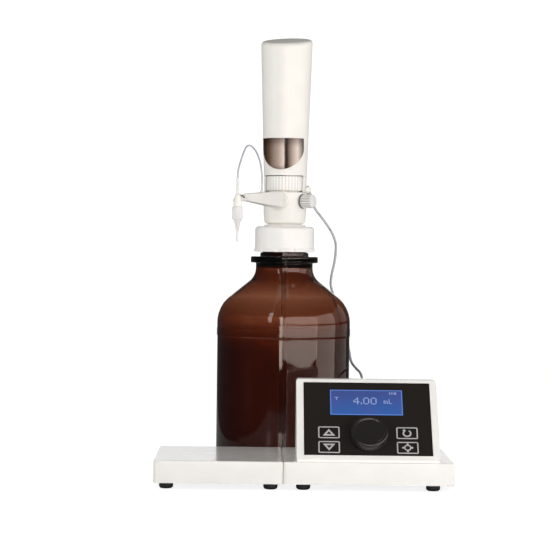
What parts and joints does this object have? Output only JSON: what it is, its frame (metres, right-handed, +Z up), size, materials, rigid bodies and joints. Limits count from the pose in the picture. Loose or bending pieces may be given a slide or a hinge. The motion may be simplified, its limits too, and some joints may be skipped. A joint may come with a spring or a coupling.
{
  "type": "digital burette",
  "caption": "Motor-driven burette head with discharge arm on an amber screw-neck bottle, cabled to a desk console with display, keys and knob beside a flat magnetic stirrer.",
  "frame": {"origin": "centre of the footprint on the table", "axes": "+X to the user's right, +Y away from the user, +Z up; the two base modules stand in front, side by side, and the bottle stands behind where they meet"},
  "size_m": [0.2584, 0.253, 0.4068],
  "materials": {
    "amber_glass": "dark amber, glossy",
    "white_collar": "satin",
    "ivory_housing": "satin, warm ivory",
    "fluoroplastic": "waxy, semi-translucent",
    "soft_seal": "matte",
    "dosing_plastic": "milky",
    "thin_tube": "milky, semi-translucent",
    "ceramic": "polished",
    "window_tint": "smoke-brown, glossy",
    "clear_glass": "clear",
    "steel": "machined",
    "brass": "machined",
    "frame_metal": "satin",
    "motor_black": "satin black",
    "circuit_board": "green solder mask",
    "cable_grey": "satin light grey",
    "case_white": "satin warm white",
    "panel_black": "satin black foil",
    "key_black": "satin black",
    "knob_black": "satin black",
    "lens_blue": "lit blue display",
    "black_plastic": "matte black",
    "plate_steel": "zinc grey",
    "magnet": "nickel",
    "foot_rubber": "matte black"
  },
  "bodies": {
    "apparatus": {"amber_bottle": "amber_glass", "neck_seal": "soft_seal", "suction_tube": "fluoroplastic", "valve_block": "ivory_housing", "inlet_valve": "fluoroplastic", "discharge_arm": "ivory_housing", "tip_holder": "ivory_housing", "dosing_tip": "dosing_plastic", "tube_fittings": "fluoroplastic", "delivery_tube": "thin_tube", "front_housing": "ivory_housing", "rear_housing": "ivory_housing", "top_cap": "ivory_housing", "window": "window_tint", "housing_screws": "steel", "glass_cylinder": "clear_glass", "cylinder_holder": "frame_metal", "drive_motor": "motor_black", "drive_frame": "frame_metal", "guide_rods": "steel", "head_board": "circuit_board", "cable_gland": "cable_grey", "signal_cable": "cable_grey", "cable_plug": "cable_grey", "console_shell": "case_white", "control_panel": "panel_black", "display_lens": "lens_blue", "display_module": "black_plastic", "encoder": "steel", "key_switches": "black_plastic", "console_board": "circuit_board", "rear_sockets": "black_plastic", "corner_screws": "steel", "console_base": "case_white", "console_base_plate": "plate_steel", "stirrer_base": "case_white", "stirrer_base_plate": "plate_steel", "stirrer_motor": "steel", "rubber_feet": "foot_rubber", "base_screws": "steel"},
    "bottle_nut_turning": {"bottle_nut": "white_collar"},
    "recirculation_valve": {"valve_plug": "fluoroplastic", "valve_knob": "white_collar"},
    "coupling_nut": {"coupling_ring": "white_collar"},
    "inlet_check_ball": {"inlet_ball": "ceramic"},
    "outlet_check_ball": {"outlet_ball": "ceramic"},
    "telescopic_tube": {"suction_extension": "fluoroplastic"},
    "piston_assembly": {"piston": "fluoroplastic", "piston_seal": "soft_seal", "piston_rod": "steel", "drive_nut": "brass"},
    "drive_screw": {"lead_screw": "steel"},
    "control_knob": {"console_knob": "knob_black", "encoder_shaft": "steel"},
    "up_key": {"key_up": "key_black"},
    "down_key": {"key_down": "key_black"},
    "clear_key": {"key_clear": "key_black"},
    "select_key": {"key_select": "key_black"},
    "stirring_rotor": {"magnet_rotor": "frame_metal", "stirring_magnets": "magnet"}
  },
  "joints": [
    {"name": "bottle_nut_turn", "type": "hinge", "parent": "apparatus", "child": "bottle_nut_turning", "pos_m": [-0.0166, 0.0636, 0.215], "axis": [0, 0, 1], "range_deg": [0, 540]},
    {"name": "valve_turn", "type": "hinge", "parent": "apparatus", "child": "recirculation_valve", "pos_m": [-0.0166, 0.0636, 0.251], "axis": [0.8192, -0.5736, 0], "range_deg": [0, 90]},
    {"name": "coupling_ring_turn", "type": "hinge", "parent": "apparatus", "child": "coupling_nut", "pos_m": [-0.0166, 0.0636, 0.268], "axis": [0, 0, 1], "range_deg": [0, 360]},
    {"name": "inlet_ball_lift", "type": "slide", "parent": "apparatus", "child": "inlet_check_ball", "axis": [0, 0, 1], "range_m": [0, 0.0012]},
    {"name": "outlet_ball_lift", "type": "slide", "parent": "apparatus", "child": "outlet_check_ball", "axis": [0, 0, 1], "range_m": [0, 0.0012]},
    {"name": "suction_extension_slide", "type": "slide", "parent": "apparatus", "child": "telescopic_tube", "axis": [0, 0, 1], "range_m": [0, 0.06]},
    {"name": "drive_screw_turn", "type": "hinge", "parent": "apparatus", "child": "drive_screw", "pos_m": [-0.0166, 0.0636, 0.33], "axis": [0, 0, 1], "range_deg": [-991, 1531]},
    {"name": "piston_travel", "type": "slide", "parent": "apparatus", "child": "piston_assembly", "axis": [0, 0, 1], "range_m": [-0.011, 0.017]},
    {"name": "control_knob_spin", "type": "hinge", "parent": "apparatus", "child": "control_knob", "pos_m": [0.0565, -0.10704, 0.04562], "axis": [0, -0.7314, 0.682], "continuous": true},
    {"name": "up_key_press", "type": "slide", "parent": "apparatus", "child": "up_key", "axis": [0, 0.7314, -0.682], "range_m": [0, 0.0005], "stiffness_N_per_m": 1500},
    {"name": "down_key_press", "type": "slide", "parent": "apparatus", "child": "down_key", "axis": [0, 0.7314, -0.682], "range_m": [0, 0.0005], "stiffness_N_per_m": 1500},
    {"name": "clear_key_press", "type": "slide", "parent": "apparatus", "child": "clear_key", "axis": [0, 0.7314, -0.682], "range_m": [0, 0.0005], "stiffness_N_per_m": 1500},
    {"name": "select_key_press", "type": "slide", "parent": "apparatus", "child": "select_key", "axis": [0, 0.7314, -0.682], "range_m": [0, 0.0005], "stiffness_N_per_m": 1500},
    {"name": "stirrer_spin", "type": "hinge", "parent": "apparatus", "child": "stirring_rotor", "pos_m": [-0.0736, -0.0635, 0.018], "axis": [0, 0, 1], "continuous": true}
  ],
  "couplings": [
    {"joint": "drive_screw_turn", "follows": "piston_travel", "rad_per_m": 1570.8}
  ]
}
